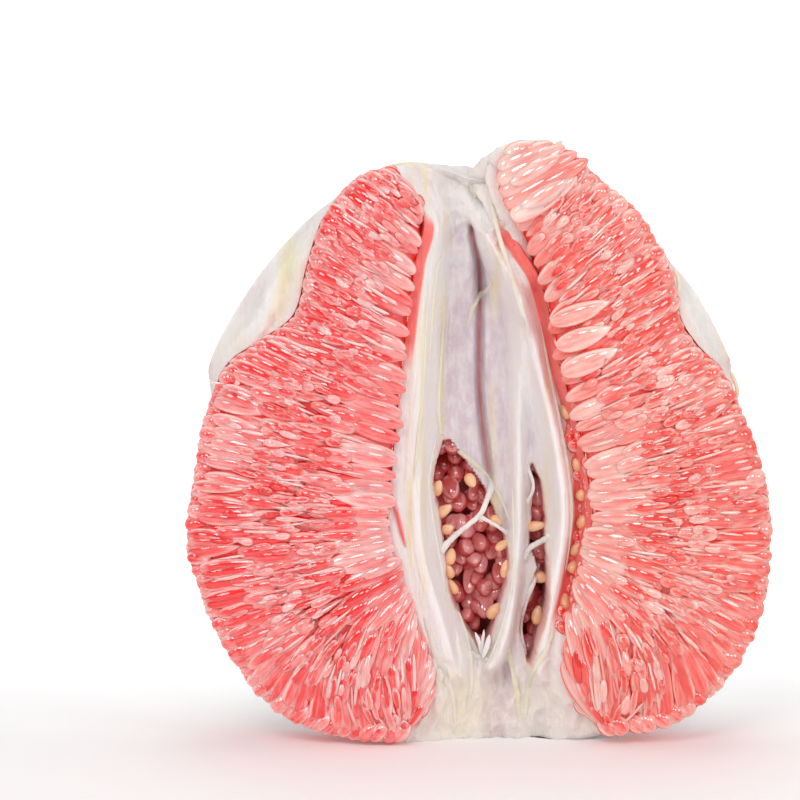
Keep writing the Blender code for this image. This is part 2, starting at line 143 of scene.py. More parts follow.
# Threads of skin: points, radius, how much thicker the ends are, how yellow. Those with (x, z) points lie
# on the core's skin, and those with (x, y, z) points are free. A point whose y is None is sunk into the
# skin, where a free thread grows out of it.
THREAD_ROOT_DEPTH = 1.2
THREADS = (
    (((-9.2, None, 44.0), (-6.6, 10.0, 46.8), (-2.4, 8.4, 50.7), (0.4, 8.4, 53.0), (2.0, 9.2, 56.0),
      (4.0, None, 60.2)), 0.62, 1.1, 0.1),
    (((0.2, 8.4, 53.0), (3.2, 8.8, 51.4), (5.6, 9.6, 49.8), (7.6, None, 48.2)), 0.42, 1.0, 0.1),
    (((10.8, None, 42.4), (12.4, 10.0, 44.8), (14.4, 9.4, 46.2), (17.4, None, 48.6)), 0.7, 0.9, 0.1),
    (((11.6, None, 65.4), (13.2, 9.8, 61.5), (13.2, 10.0, 58.6), (11.6, None, 55.4)), 0.4, 0.8, 0.1),
    (((15.8, None, 43.6), (14.0, 10.0, 38.0), (11.6, 10.0, 31.5), (10.4, 10.4, 26.0), (11.2, None, 18.6)),
     0.6, 0.6, 0.05),
    (((-1.0, 132), (-0.7, 128), (1.0, 122), (1.9, 118.5), (3.8, 112.5), (3.9, 109.5), (2.2, 106.5),
      (-0.7, 103.8), (-2.6, 97.5)), 0.8, -0.7, 0.75),
    (((2.2, 131), (3.6, 124), (5.6, 117), (8.0, 109), (10.6, 100), (12.4, 92)), 0.6, -0.7, 0.45),
    (((-6.9, 128), (-8.6, 118), (-10.2, 111), (-11.2, 100), (-11.9, 90)), 0.55, -0.8, 0.8),
    (((-7.9, 103), (-8.8, 92), (-9.5, 82), (-9.3, 75), (-8.2, 71.5), (-3.6, 67.4), (1.6, 62.8), (5.8, 56.6),
      (8.0, 51)), 0.6, -0.6, 0.8),
    (((-12.0, 110), (-12.8, 92), (-13.4, 82), (-14.3, 73), (-15.4, 62)), 0.5, -0.8, 0.7),
    (((-10.0, 72), (-11.8, 62), (-10.8, 52), (-8.8, 41), (-7.6, 33)), 0.5, -0.7, 0.3),
    (((8.4, 60), (8.8, 50), (8.8, 40), (7.0, 30), (4.0, 21), (1.0, 15)), 0.5, -0.7, 0.35),
    (((14.4, 100), (16.6, 88), (19.2, 75), (21.4, 62), (21.8, 52), (20.6, 40)), 0.55, -0.8, 0.55),
    (((7.2, 22), (8.6, 16), (9.6, 10), (10.3, 3.8)), 0.7, -0.6, 0.8),
    (((18.2, 28), (16, 22.4), (13.7, 17.5), (12.2, 11), (11.2, 4)), 0.75, -0.6, 0.7),
    (((-12.8, 30), (-9.8, 20), (-6.6, 12), (-5.4, 4)), 0.8, -0.6, 0.35),
    (((-4.6, 30), (-2.2, 22), (-1.6, 14), (-2.4, 6)), 0.6, -0.6, 0.5),
    (((-0.6, 5.4, 25.4), (0.5, 5.8, 22.6), (1.0, 6.6, 19.6)), 0.5, -0.9, 0.0),
    (((2.9, 5.0, 24.9), (2.2, 5.4, 21.8), (1.2, 6.6, 18.6)), 0.65, -0.9, 0.0),
    (((1.6, 5.8, 26.0), (1.2, 5.8, 22.6), (1.1, 6.6, 19.0)), 0.4, -0.9, 0.1),
    (((-2.4, 20.8), (0.4, 19.0), (3.4, 18.4)), 0.7, -0.8, 0.1),
    (((-10.6, 1.4, 20.6), (-9.8, 0.2, 17), (-9.2, 0.6, 13.4)), 1.5, -0.8, 0.25),
    (((16.4, -3.6, 139.0), (17.6, -4.2, 141.0), (19.2, -3.6, 142.3)), 0.6, -0.9, 0.6),
    (((45.2, -2, 113.0), (46.4, -3.0, 110.0), (46.4, -2.4, 106.5)), 0.5, -0.8, 0.8),
    (((59.2, 0.4, 88.6), (60.6, -0.6, 84.6), (60.8, 0.6, 81.6)), 0.55, -0.8, 0.8),
)

# Flat ribbons of skin round the top of the right lobe: points as for threads, half their width, and their
# thickness as a share of that
RIBBONS = (
    (((-6.0, None, 127.0), (-1.0, None, 132.4), (3.6, -1.0, 136.6), (8.0, -2.2, 139.4),
      (15.5, -2.4, 140.2)), 3.0, 0.35),
    (((2.6, -0.6, 139.0), (3.4, -2.2, 133.6), (5.4, -2.2, 128.0), (8.6, None, 121.0),
      (12.0, None, 111.0)), 2.4, 0.4),
    (((-2.0, None, 134.4), (1.5, None, 131.0), (4.4, None, 126.0), (7.4, None, 117.0)), 2.6, 0.35),
)
RIBBON_FLARE = -0.85
RIBBON_YELLOW = 0.12

# The large pale sacs of the right lobe: their two ends and radius. The first ones, which are blunt, lie on
# its top, and the others at its inner edge.
BLUNT_SACS = 8
LARGE_SACS = (((7.2, -7.6, 124.4), (22.4, -6.6, 134.2), 2.8), ((5.6, -7.6, 127.2), (25.0, -6.4, 138.0), 2.8),
              ((4.6, -7.8, 129.8), (22.4, -6.0, 139.6), 2.9), ((4.0, -7.4, 132.6), (19.6, -6.0, 141.0), 2.9),
              ((4.2, -7.0, 135.4), (17.0, -5.8, 141.6), 2.8), ((5.8, -6.4, 138.2), (14.0, -5.6, 141.6), 2.7),
              ((9.0, -8.2, 126.2), (20.6, -7.8, 134.0), 2.5), ((6.4, -8.2, 131.6), (18.6, -7.6, 138.8), 2.5),
              ((30.5, -9.2, 105.4), (16.4, -6.6, 100.2), 2.6), ((30.5, -9.2, 99.4), (17.8, -6.6, 94.6), 2.7),
              ((32.4, -9.2, 94.4), (19.0, -6.6, 88.4), 2.6))

# Small red bulbs in the seam between the core's skin and the right face: how many, and between what heights
SEAM_BULBS = 60
SEAM_HEIGHTS = (26.5, 76.0)

# A loose sliver of flesh on the left band, as (x, z) from its thin end to its round one
SLIVER = ((-20.4, 59.5), (-17.2, 46.6))


def clamp(value, low=0.0, high=1.0):
    return max(low, min(high, value))


def smooth_step(value):
    value = clamp(value)
    return value * value * (3 - 2 * value)


def mix(low, high, share):
    return low + (high - low) * share


def ripple(*where):
    """Smooth noise from -1 to 1 at three coordinates."""
    return noise.noise(Vector(where))


class Curve:
    """A smooth curve through a few points, read by its length from 0 to 1 or by its height."""

    STEPS = 12
    TABLE = 400

    def __init__(self, points):
        ends = [2 * Vector(points[0]) - Vector(points[1])]
        ends += [Vector(p) for p in points] + [2 * Vector(points[-1]) - Vector(points[-2])]
        dense = [ends[1].copy()]
        for a, b, c, d in zip(ends, ends[1:], ends[2:], ends[3:]):
            for step in range(1, self.STEPS + 1):
                dense.append(self.between(a, b, c, d, step / self.STEPS))
        reached = [0.0]
        for start, end in zip(dense, dense[1:]):
            reached.append(reached[-1] + (end - start).length)
        self.length = reached[-1]
        self.even = self.spread(dense, reached, 0.0, self.length)
        climbing = dense if dense[0].y < dense[-1].y else dense[::-1]
        heights = [point.y for point in climbing]
        self.low, self.high = heights[0], heights[-1]
        self.by_height = self.spread(climbing, heights, self.low, self.high)

    @staticmethod
    def between(a, b, c, d, t):
        """A Catmull-Rom curve from b to c."""
        return 0.5 * (2 * b + (c - a) * t + (2 * a - 5 * b + 4 * c - d) * t * t
                      + (3 * b - a - 3 * c + d) * t ** 3)

    def spread(self, points, marks, low, high):
        """The points again, evenly spaced by their marks, for quick reading."""
        table, n = [], 0
        for step in range(self.TABLE + 1):
            goal = low + (high - low) * step / self.TABLE
            while n < len(marks) - 2 and marks[n + 1] < goal:
                n += 1
            gap = max(marks[n + 1] - marks[n], 1e-9)
            table.append(points[n].lerp(points[n + 1], clamp((goal - marks[n]) / gap)))
        return table

    def read(self, table, share):
        place = clamp(share) * self.TABLE
        n = min(int(place), self.TABLE - 1)
        return table[n].lerp(table[n + 1], place - n)

    def at(self, share):
        return self.read(self.even, share)

    def x_at_height(self, z):
        return self.read(self.by_height, (z - self.low) / (self.high - self.low)).x


class Face:
    """The bare flesh on one side, from its edge at the core to its edge at the rim."""

    def __init__(self, inner, outer):
        self.inner, self.outer = Curve(inner), Curve(outer)
        self.core_side = Curve((outer[0],) + inner + (outer[-1],))
        self.side = 1 if outer[0][0] > 0 else -1

    def point(self, u, v):
        """The (x, z) at share u from the core to the rim and v from the lower end to the top."""
        lag = 0.08 * math.sin(2 * math.pi * clamp(v) ** 0.6)
        start, end = self.inner.at(v + lag), self.outer.at(v)
        return start + (end - start) * u

    def covers(self, x, z, soft):
        """1 inside the face's outline, 0 outside it, with an edge of that softness."""
        near, far = self.core_side.x_at_height(z), self.outer.x_at_height(z)
        inside = min((x - near) * self.side, (far - x) * self.side, z - self.outer.low, self.outer.high - z)
        return smooth_step(inside / soft - 0.3)


LEFT = Face(LEFT_INNER, LEFT_OUTER)
RIGHT = Face(RIGHT_INNER, RIGHT_OUTER)
POCKETS = [(Curve(a), Curve(b)) for a, b in (WIDE_POCKET, NARROW_POCKET)]
BAND_LINES = [(Curve(points), height, width) for points, height, width in BANDS]
GROOVE_LINES = [(Curve(points), depth, width) for points, depth, width in GROOVES]


def outer_radius(z):
    """The egg-shaped fruit's radius at height z."""
    t = clamp((z + FOOT_CUT) / (HEIGHT + FOOT_CUT), 1e-6, 1 - 1e-6)
    return RADIUS * math.sin(math.pi * t ** WIDEST) ** FULLNESS


def lobe(angle):
    """The share of the radius that the rounded segments leave at this angle."""
    bent = angle + LOBE_SHIFT * math.sin(3 * angle + 0.7)
    return 1 - LOBE_DEPTH * (1 - abs(math.sin(BACK_SEGMENTS * bent)) ** 0.5)


def groove_share(angle):
    """1 in a groove between two segments of the back, 0 on a segment's back."""
    bent = angle + LOBE_SHIFT * math.sin(3 * angle + 0.7)
    return (1 - abs(math.sin(BACK_SEGMENTS * bent))) ** 3


def back_radius(angle, z):
    """The back's radius: an egg with grooves between its segments, not quite even."""
    uneven = UNEVEN * ripple(math.cos(angle) * 1.7, math.sin(angle) * 1.7, z / UNEVEN_HEIGHT * 1.7)
    swell = LEFT_SWELL * clamp(-math.cos(angle)) * smooth_step((z - 70) / 25)
    swell += FOOT_SPREAD * math.sin(angle) ** 2 * (1 - smooth_step(z / FOOT_HEIGHT))
    return outer_radius(z) * lobe(angle) * (1 + uneven + swell)


def wedge_back(x):
    return WEDGE_START + abs(x) * WEDGE_SLOPE


def core_dip(z):
    return CORE_DEPTH * math.sin(math.pi * clamp(z / CORE_TOP, 0.03, 0.97)) ** 0.5


def pocket_share(x, z):
    """How far (x, z) is inside a torn pocket: 0 outside, 1 well inside, and the distance to its edge."""
    nearest = 99.0
    for left, right in POCKETS:
        ragged = 0.35 * ripple(z * 0.45, left.low, 0.0) + 0.2 * ripple(z * 1.4, left.low, 4.0)
        inside = min(x - left.x_at_height(z) - ragged, right.x_at_height(z) + ragged - x,
                     (z - left.low) * 0.5, (left.high - z) * 0.5)
        nearest = min(nearest, -inside) if inside < 0 else -inside
        if inside >= 0:
            break
    return smooth_step(-nearest / 0.55), nearest


def core_y(x, z):
    """The white core between the two faces of flesh, and how much it is shaded, yellow, pink and given lilac
    painted shade.
    """
    left, right = LEFT.core_side.x_at_height(z), RIGHT.core_side.x_at_height(z)
    across = clamp((x - left) / max(right - left, 1.0))
    base = core_dip(z)
    depth = base * smooth_step(2.9 * min(across, 1 - across))
    room = min(1.0, depth / 6)
    band_share = 0.0
    for line, height, width in BAND_LINES:
        off = (x - line.x_at_height(z)) / width
        share = math.exp(-off * off)
        share *= smooth_step((z - line.low) / 10 + 0.3) * smooth_step((line.high - z) / 8 + 0.3)
        depth -= height * share * room
        band_share = max(band_share, share)
    groove_pink = 0.0
    for number, (line, groove_depth, width) in enumerate(GROOVE_LINES):
        fade = smooth_step((z - line.low) / 7) * smooth_step((line.high - z) / 7)
        off = (x - line.x_at_height(z)) / width
        share = fade * math.exp(-off * off)
        depth += groove_depth * share
        groove_pink = max(groove_pink, 0.55 * share ** 3 if number == 0 else 0.0)
    along = across * 30 + 0.8 * ripple(x * 0.12, z * 0.03, 2.0)
    depth += 0.22 * ripple(along, z * 0.035, 7.0) + 0.12 * ripple(along * 2.6, z * 0.07, 3.0)
    depth += 0.10 * ripple(x * 0.9, z * 0.9, 11.0) * (1 - band_share)
    panel = smooth_step((depth - 4) / 5)
    depth += panel * (0.5 * ripple(x * 0.22, z * 0.10, 21.0) + 0.25 * ripple(x * 0.6, z * 0.5, 15.0))
    crumpled = smooth_step((z - 118) / 10) + smooth_step((25 - z) / 10)
    depth += crumpled * (4.2 * abs(ripple(x * 0.11, z * 0.09, 4.0))
                         + 2.0 * abs(ripple(x * 0.3, z * 0.2, 9.0)) - 0.9)
    window = math.exp(-((x - 0.7 + (z - 110) * 0.1) / 1.7) ** 2 - ((z - 110) / 6.2) ** 4)
    depth += 3.0 * window
    inside, edge = pocket_share(x, z)
    lip = math.exp(-((edge - 0.3) / 0.7) ** 2) if edge < 4 else 0.0
    depth -= 0.35 * lip
    depth = mix(depth, POCKET_DEPTH, inside)
    yellow = 0.0
    for offset, width in STREAKS:
        place = offset + 1.2 * ripple(z * 0.02, offset, 5.0)
        streak = math.exp(-((x - place) / width) ** 2) * smooth_step((z - 24) / 20)
        yellow = max(yellow, streak * clamp(0.55 + 0.9 * ripple(z * 0.06, offset, 1.0)))
    yellow = max(yellow, 0.6 * math.exp(-((edge - 0.2) / 0.9) ** 2) * clamp(0.4 + ripple(x * 0.3, z * 0.2, 9.0)))
    # Painted lilac shade: deeper in the hollows, in the recessed window and the first groove, in the crumples, and
    # towards the bottom.
    lilac_shade = clamp((depth - 6.0) / 6.0) * (1 - band_share) + 0.5 * window + 0.5 * groove_pink
    lilac_shade += crumpled * clamp(ripple(x * 0.1, z * 0.08, 30.0) * 1.6 - 0.15)
    foot_stain = math.exp(-((x + 4) / 6) ** 2 - ((z - 8) / 7) ** 2)
    yellow = max(yellow, 0.6 * foot_stain * clamp(0.6 + ripple(x, z * 0.3, 2)))
    lower = smooth_step((24 - z) / 12)
    yellow, lilac_shade = clamp(yellow + 0.22 * lower), lilac_shade + 0.3 * lower
    pink = clamp(groove_pink + 0.5 * math.exp(-max(edge, 0.0) / 0.35))
    low = smooth_step((66 - z) / 8)
    strip_right = smooth_step((x - right + 2.6 + 1.6 * low) / 0.8) * smooth_step((right + 2 - x) / 0.8)
    strip_right *= smooth_step((z - 26) / 8) * smooth_step((133 - z) / 6)
    strip_left = smooth_step((left + 2.4 - x) / 0.8) * smooth_step((x - left + 2) / 0.8)
    strip_left *= smooth_step((z - 84) / 14) * smooth_step((130 - z) / 5)
    coral = max(strip_right, strip_left * 0.9)
    return depth - RIM, (yellow * (1 - coral), clamp(lilac_shade) * (1 - coral), max(pink, coral),
                         inside)


def on_skin(flat, raised):
    """The point of the core's skin at (x, z), raised towards the viewer."""
    return Vector((flat.x, core_y(flat.x, flat.y)[0] - raised, flat.y))


def end_angle(face, z):
    """Where the back ends on that side: behind the flesh, or just behind the rim where the skin shows."""
    radius = back_radius(0.0 if face.side > 0 else math.pi, z)
    reach = abs(face.outer.x_at_height(z))
    covered = smooth_step((reach - radius + 5) / 4) * smooth_step((z - face.outer.low) / 3)
    covered *= smooth_step((face.outer.high - z) / 6)
    bare = 5.0 / max(radius, 12.0)
    behind = math.asin(clamp((wedge_back(radius) + 0.5) / max(radius, 16.0)))
    return mix(bare, behind, covered)


SKIN_BACK_COLUMNS = 170
SKIN_FRONT_COLUMNS = 230
SKIN_ROWS = 228
SKIN_BACK_SHARE = SKIN_BACK_COLUMNS / (SKIN_BACK_COLUMNS + SKIN_FRONT_COLUMNS)
FOOT_ROWS_SHARE = 8 / SKIN_ROWS
FOOT_CENTRE = Vector((0.0, 12.0))
FRONT_STOPS = (0.0, 0.10, 0.18, 0.86, 0.93, 1.0)


def skin_radius(angle, z):
    """The back's radius with its fibres, a little inside the fruit's own, and how far down a groove it is."""
    groove = groove_share(angle)
    radius = back_radius(angle, z) - 0.45 - 0.8 * groove
    radius -= 0.25 * (1 + ripple(angle * 9, z * 0.05, 3.0)) + 0.12 * (1 + ripple(angle * 26, z * 0.16, 8.0))
    return max(radius, 0.0), groove


def skin_ring(u, z, pole):
    """The skin's closed outline at height z: its (x, y) at share u, and its traits."""
    end_right, end_left = end_angle(RIGHT, z), math.pi - end_angle(LEFT, z)
    if u <= SKIN_BACK_SHARE:
        angle = mix(end_right, end_left, u / SKIN_BACK_SHARE)
        radius, groove = skin_radius(angle, z)
        radius *= pole
        pink = clamp(0.3 + 0.9 * ripple(angle * 2.2, z * 0.025, 6.0)) * (1 - groove)
        pink *= 0.35 + 0.25 * ripple(angle * 16, z * 0.25, 2.0)
        yellow = clamp(ripple(angle * 13, z * 0.03, 1.0) * 1.6 - 0.5)
        # Painted lilac shade in patches over the back.
        lilac_shade = clamp(0.2 + 0.9 * ripple(angle * 4, z * 0.04, 18.0))
        return Vector((radius * math.cos(angle), radius * math.sin(angle))), (yellow, lilac_shade, pink, 0.0)
    share = (u - SKIN_BACK_SHARE) / (1 - SKIN_BACK_SHARE)
    radii = [skin_radius(angle, z)[0] * pole for angle in (end_left, end_right)]
    left, right = radii[0] * math.cos(end_left), radii[1] * math.cos(end_right)
    stops = [left, LEFT.outer.x_at_height(z), LEFT.core_side.x_at_height(z) - 0.5,
             RIGHT.core_side.x_at_height(z) + 0.5, RIGHT.outer.x_at_height(z), right]
    width = right - left
    stops[1] = clamp(stops[1], left + 0.04 * width, left + 0.46 * width)
    stops[2] = clamp(stops[2], stops[1] + 0.01 * width, left + 0.49 * width)
    stops[4] = clamp(stops[4], left + 0.54 * width, right - 0.04 * width)
    stops[3] = clamp(stops[3], left + 0.51 * width, stops[4] - 0.01 * width)
    n = next(n for n in range(5) if share <= FRONT_STOPS[n + 1] or n == 4)
    x = mix(stops[n], stops[n + 1], (share - FRONT_STOPS[n]) / (FRONT_STOPS[n + 1] - FRONT_STOPS[n]))
    y, traits = core_y(x, z)
    outside = smooth_step((stops[1] - x) / 3) + smooth_step((x - stops[4]) / 3)
    y += outside * (4.0 * abs(ripple(x * 0.10, z * 0.06, 12.0))
                    + 1.8 * abs(ripple(x * 0.3, z * 0.2, 17.0)) - 0.8)
    if outside > 0:
        # Painted lilac shade in patches on the skin beside the flesh.
        lilac_shade = clamp(0.25 + 0.9 * ripple(x * 0.09, z * 0.05, 40.0))
        yellow = clamp(ripple(x * 0.2, z * 0.04, 8.0) * 1.5 - 0.1) + 0.12
        traits = (yellow, lilac_shade, clamp(0.5 * outside - 0.4) * lilac_shade, 0.0)
    for face in (LEFT, RIGHT):
        y = mix(y, wedge_back(x) + 0.5, face.covers(x, z, 1.0))
    ends = (radii[0] * math.sin(end_left), radii[1] * math.sin(end_right))
    for edge, end in ((left, ends[0]), (right, ends[1])):
        near = clamp(1 - abs(x - edge) / 9.0)
        y = mix(y, max(y, end), near ** 2)
    y *= clamp(width / 28)
    y = mix(ends[0] if share < 0.5 else ends[1], y, clamp(min(share, 1 - share) * 25))
    return Vector((x, y)), traits


def skin_point(u, v):
    """A point of the skin at share u round it and v from the middle of the foot to the top."""
    if v < FOOT_ROWS_SHARE:
        ring, traits = skin_ring(u, 0.0, 1.0)
        place = FOOT_CENTRE + (ring - FOOT_CENTRE) * (v / FOOT_ROWS_SHARE)
        return Vector((place.x, place.y, 0.0)), traits
    climb = (v - FOOT_ROWS_SHARE) / (1 - FOOT_ROWS_SHARE)
    z = HEIGHT * (0.6 * climb + 0.4 * (0.5 - 0.5 * math.cos(math.pi * climb)))
    ring, traits = skin_ring(u, z, 0.0 if v >= 1 else 1.0)
    near_top = smooth_step((z - 95) / 40)
    off = ((ring.x - 1.5) ** 2 + (ring.y - 1) ** 2) / (2 * DIMPLE_WIDTH ** 2)
    return Vector((ring.x, ring.y, z - DIMPLE_DEPTH * near_top * math.exp(-off))), traits


def crown_y(u, v):
    """The front of a face of flesh: bulging, and rounded over at its edges."""
    edge = math.sin(math.pi * clamp(0.5 + 0.96 * (clamp(u) - 0.5))) ** 0.45
    ends = math.sin(math.pi * clamp(0.5 + 0.95 * (clamp(v) - 0.5))) ** 0.3
    return -FACE_EDGE - FACE_CROWN * edge * ends


class Shape:
    """A mesh in the making, whose corners carry named traits for its material."""

    def __init__(self, *traits):
        self.mesh = bmesh.new()
        self.layers = [self.mesh.verts.layers.float.new(name) for name in traits]
        self.number = self.mesh.verts.layers.int.new("ball")
        self.waiting = {}

    def grid(self, columns, rows, place):
        """A grid whose corners go where place(u, v) says, with the traits that it gives."""
        made = bmesh.ops.create_grid(self.mesh, x_segments=columns, y_segments=rows, size=1.0)["verts"]
        for vert in made:
            vert.co, traits = place((vert.co.x + 1) / 2, (vert.co.y + 1) / 2)
            for layer, value in zip(self.layers, traits):
                vert[layer] = value
        return made

    def ball(self, segments, rings, place):
        """Asks for a ball whose corners go where place(t, angle) says, with t from 0 below to 1 above."""
        self.waiting.setdefault((segments, rings), []).append(place)

    def make_balls(self, segments, rings, places):
        """The balls that were asked for: one is made, then all are doubled until there are enough."""
        first = bmesh.ops.create_uvsphere(self.mesh, u_segments=segments, v_segments=rings,
                                          radius=1.0)["verts"]
        balls = first + list(dict.fromkeys(edge for vert in first for edge in vert.link_edges))
        balls += list(dict.fromkeys(face for vert in first for face in vert.link_faces))
        for vert in first:
            vert[self.number] = 0
        made = 1
        while made < len(places):
            copies = bmesh.ops.duplicate(self.mesh, geom=balls)["geom"]
            for item in copies:
                if isinstance(item, bmesh.types.BMVert):
                    item[self.number] += made
            balls += copies
            made *= 2
        surplus = []
        for vert in balls:
            if not isinstance(vert, bmesh.types.BMVert):
                continue
            if vert[self.number] >= len(places):
                surplus.append(vert)
                continue
            t, angle = clamp((vert.co.z + 1) / 2), math.atan2(vert.co.y, vert.co.x)
            vert.co, traits = places[vert[self.number]](t, angle)
            for layer, value in zip(self.layers, traits):
                vert[layer] = value
        bmesh.ops.delete(self.mesh, geom=surplus, context="VERTS")

    def keep(self, name, material, body_slot, *nodes, sharp=0.0):
        """Closes and turns the mesh, moves it into the frame and makes its object."""
        for (segments, rings), places in self.waiting.items():
            self.make_balls(segments, rings, places)
        open_edges = [edge for edge in self.mesh.edges if edge.is_boundary]
        rims = {vert for edge in open_edges for vert in edge.verts}
        bmesh.ops.remove_doubles(self.mesh, verts=[vert for vert in self.mesh.verts if vert in rims],
                                 dist=1e-4)
        for vert in self.mesh.verts:
            vert.co = (clamp(vert.co.x, -SIDE_LIMIT, SIDE_LIMIT), max(vert.co.y, FRONT_LIMIT),
                       clamp(vert.co.z, 0.0, TOP_LIMIT))
        bmesh.ops.recalc_face_normals(self.mesh, faces=self.mesh.faces)
        place = Matrix.Scale(MM, 4) @ Matrix.Translation(AXIS_SHIFT)
        bmesh.ops.transform(self.mesh, matrix=place, verts=self.mesh.verts)
        data = bpy.data.meshes.new(name)
        self.mesh.to_mesh(data)
        self.mesh.free()
        data.shade_smooth()
        if sharp:
            data.set_sharp_from_angle(angle=math.radians(sharp))
        data.materials.append(material)
        piece = bpy.data.objects.new(name, data)
        bpy.context.scene.collection.objects.link(piece)
        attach(piece, "root")
        if nodes:
            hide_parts(*nodes)
        return piece


SAC_TRAITS = ("along", "crest", "pick", "ripe", "turn")


def add_sac(shape, tail, bulb, up, radius, ripe, pick, taper=1.0, flat=0.85, bow=0.0, detail=(11, 11)):
    """One juice sac: a round bulb that thins into a tail, slightly ridged, on a curve bowed towards up."""
    middle = (tail + bulb) / 2 + up * bow * 2
    widest = taper / (taper + 0.5)
    scale = radius / (widest ** taper * math.sqrt(1 - widest))

    def place(t, angle):
        centre = tail * (1 - t) ** 2 + middle * 2 * t * (1 - t) + bulb * t * t
        forward = ((middle - tail) * (1 - t) + (bulb - middle) * t).normalized()
        side = forward.cross(up).normalized()
        lift = side.cross(forward)
        wide = scale * t ** taper * math.sqrt(max(1 - t, 0.0))
        wide *= 1 + 0.07 * math.cos(3 * angle + pick * 40) + 0.05 * math.cos(5 * angle + pick * 90)
        out = side * math.cos(angle) + lift * (-math.sin(angle) * flat)
        return centre + out * wide, (t, 0.5 - 0.5 * math.sin(angle), pick, ripe, angle / math.pi)

    shape.ball(*detail, place)


def set_input(node, name, value):
    node.inputs[name].default_value = value


class Paint:
    """A material in the making, with short ways to add its nodes."""

    def __init__(self, name):
        self.material = bpy.data.materials.new(name)
        self.material.use_nodes = True
        self.tree = self.material.node_tree
        self.shader = self.tree.nodes["Principled BSDF"]

    def node(self, kind, **values):
        made = self.tree.nodes.new("ShaderNode" + kind)
        for name, value in values.items():
            setattr(made, name, value)
        return made

    def link(self, source, target):
        self.tree.links.new(source, target)

    def put(self, socket, value):
        """A link or a plain value into a socket."""
        if isinstance(value, bpy.types.NodeSocket):
            self.link(value, socket)
        else:
            socket.default_value = value

    def trait(self, name):
        return self.node("Attribute", attribute_name=name).outputs["Fac"]

    def maths(self, operation, first, second=0.0, clamped=False):
        made = self.node("Math", operation=operation, use_clamp=clamped)
        self.put(made.inputs[0], first)
        self.put(made.inputs[1], second)
        return made.outputs[0]

    def range(self, value, low, high, start=0.0, end=1.0):
        """The value taken from low..high to start..end, and kept there."""
        made = self.node("MapRange", interpolation_type="SMOOTHSTEP")
        for socket, number in zip(made.inputs, (value, low, high, start, end)):
            self.put(socket, number)
        return made.outputs[0]

    def blend(self, share, first, second, mode="MIX"):
        made = self.node("Mix", data_type="RGBA", blend_type=mode)
        self.put(made.inputs["Factor"], share)
        for socket, value in ((made.inputs[6], first), (made.inputs[7], second)):
            self.put(socket, value if isinstance(value, bpy.types.NodeSocket) else (*value, 1.0))
        return made.outputs[2]

    def place(self, scale):
        """Object coordinates, stretched by a scale in each direction."""
        mapping = self.node("Mapping")
        mapping.inputs["Scale"].default_value = scale
        self.link(self.node("TexCoord").outputs["Object"], mapping.inputs["Vector"])
        return mapping.outputs["Vector"]

    def noise(self, vector, scale, detail=3.0, rough=0.5):
        made = self.node("TexNoise")
        self.link(vector, made.inputs["Vector"])
        set_input(made, "Scale", scale)
        set_input(made, "Detail", detail)
        set_input(made, "Roughness", rough)
        return made.outputs["Fac"]

    def bump(self, height, strength, distance, below=None):
        made = self.node("Bump")
        self.link(height, made.inputs["Height"])
        set_input(made, "Strength", strength)
        set_input(made, "Distance", distance)
        if below is not None:
            self.link(below, made.inputs["Normal"])
        return made.outputs["Normal"]

    def finish(self, colour, normal, **gloss):
        self.put(self.shader.inputs["Base Color"], colour)
        self.link(normal, self.shader.inputs["Normal"])
        for name, value in gloss.items():
            set_input(self.shader, name.replace("_", " "), value)
        return self.material


